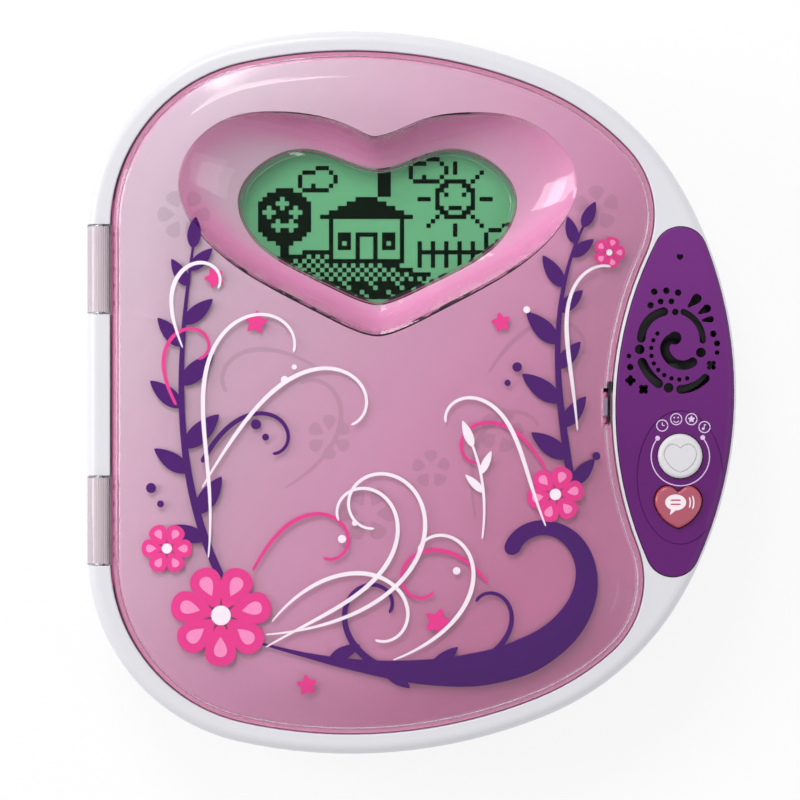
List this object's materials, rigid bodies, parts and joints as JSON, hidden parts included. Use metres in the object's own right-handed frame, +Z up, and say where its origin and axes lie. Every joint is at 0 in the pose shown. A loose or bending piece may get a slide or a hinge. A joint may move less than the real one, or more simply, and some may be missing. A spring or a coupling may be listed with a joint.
{
  "type": "electronic secret diary",
  "caption": "Flat egg-shaped electronic diary with a hinged domed cover, heart-shaped display window, speaker grille, push buttons, deck keys and a notepad tray.",
  "frame": {"origin": "middle of the footprint, on the ground the feet rest on", "axes": "+Z up out of the cover, +Y towards the display's top edge, +X towards the control panel, the hinge at -X"},
  "size_m": [0.205, 0.2284, 0.039],
  "materials": {
    "rim": "smooth, semi-gloss, pale grey",
    "base_shell": "smooth, semi-gloss, pale grey",
    "clear_cover": "clear, polished",
    "pearl_pink": "pearl pink",
    "pink": "satin pink",
    "purple": "satin purple",
    "white_button": "satin, off-white",
    "pink_button": "gloss pink",
    "key": "soft, pale lilac",
    "lens": "clear, polished",
    "lcd": "grey-green display",
    "black_plastic": "matte black",
    "board": "green circuit board",
    "steel": "bright steel",
    "magnet": "dark plated steel",
    "paper_cone": "matte black paper",
    "silicone": "soft grey silicone",
    "foot_rubber": "soft dark rubber",
    "cell": "plain wrapped metal cell",
    "paper": "white paper block"
  },
  "bodies": {
    "base": {"bottom_shell": "base_shell", "top_frame": "rim", "deck_plate": "pink", "control_panel": "purple", "battery_door": "base_shell", "batteries": "cell", "battery_contacts": "steel", "case_screws": "steel", "battery_door_screw": "steel", "feet": "foot_rubber", "hinge_pins": "steel", "button_board": "board", "button_pad": "silicone", "button_board_screws": "steel", "speaker_basket": "black_plastic", "speaker_magnet": "magnet", "speaker_cone": "paper_cone", "microphone": "black_plastic", "latch_solenoid": "black_plastic", "display_holder": "black_plastic", "display_glass": "lcd", "window_lens": "lens", "main_board": "board", "key_mat": "silicone", "notepad": "paper"},
    "cover": {"cover_shell": "clear_cover", "cover_inner": "pearl_pink", "cover_liner": "pink", "cover_catch": "rim", "cover_screws": "steel"},
    "mode_button_body": {"mode_button": "white_button"},
    "voice_button_body": {"voice_button": "pink_button"},
    "latch_bolt_body": {"latch_bolt": "steel"},
    "power_key_body": {"power_key": "key"},
    "left_key_body": {"left_key": "key"},
    "ok_key_body": {"ok_key": "pink_button"},
    "right_key_body": {"right_key": "key"},
    "help_key_body": {"help_key": "key"}
  },
  "joints": [
    {"name": "cover_hinge", "type": "hinge", "parent": "base", "child": "cover", "pos_m": [-0.0985, 0, 0.032], "axis": [0, -1, 0], "range_deg": [0, 150]},
    {"name": "mode_button_press", "type": "slide", "parent": "base", "child": "mode_button_body", "axis": [0, 0, -1], "range_m": [0, 0.00095], "stiffness_N_per_m": 350},
    {"name": "voice_button_press", "type": "slide", "parent": "base", "child": "voice_button_body", "axis": [0, 0, -1], "range_m": [0, 0.00095], "stiffness_N_per_m": 350},
    {"name": "power_key_press", "type": "slide", "parent": "base", "child": "power_key_body", "axis": [0, 0, -1], "range_m": [0, 0.0007], "stiffness_N_per_m": 300},
    {"name": "left_key_press", "type": "slide", "parent": "base", "child": "left_key_body", "axis": [0, 0, -1], "range_m": [0, 0.0007], "stiffness_N_per_m": 300},
    {"name": "ok_key_press", "type": "slide", "parent": "base", "child": "ok_key_body", "axis": [0, 0, -1], "range_m": [0, 0.0007], "stiffness_N_per_m": 300},
    {"name": "right_key_press", "type": "slide", "parent": "base", "child": "right_key_body", "axis": [0, 0, -1], "range_m": [0, 0.0007], "stiffness_N_per_m": 300},
    {"name": "help_key_press", "type": "slide", "parent": "base", "child": "help_key_body", "axis": [0, 0, -1], "range_m": [0, 0.0007], "stiffness_N_per_m": 300},
    {"name": "latch_bolt_slide", "type": "slide", "parent": "base", "child": "latch_bolt_body", "axis": [-1, 0, 0], "range_m": [0, 0.0038]}
  ]
}
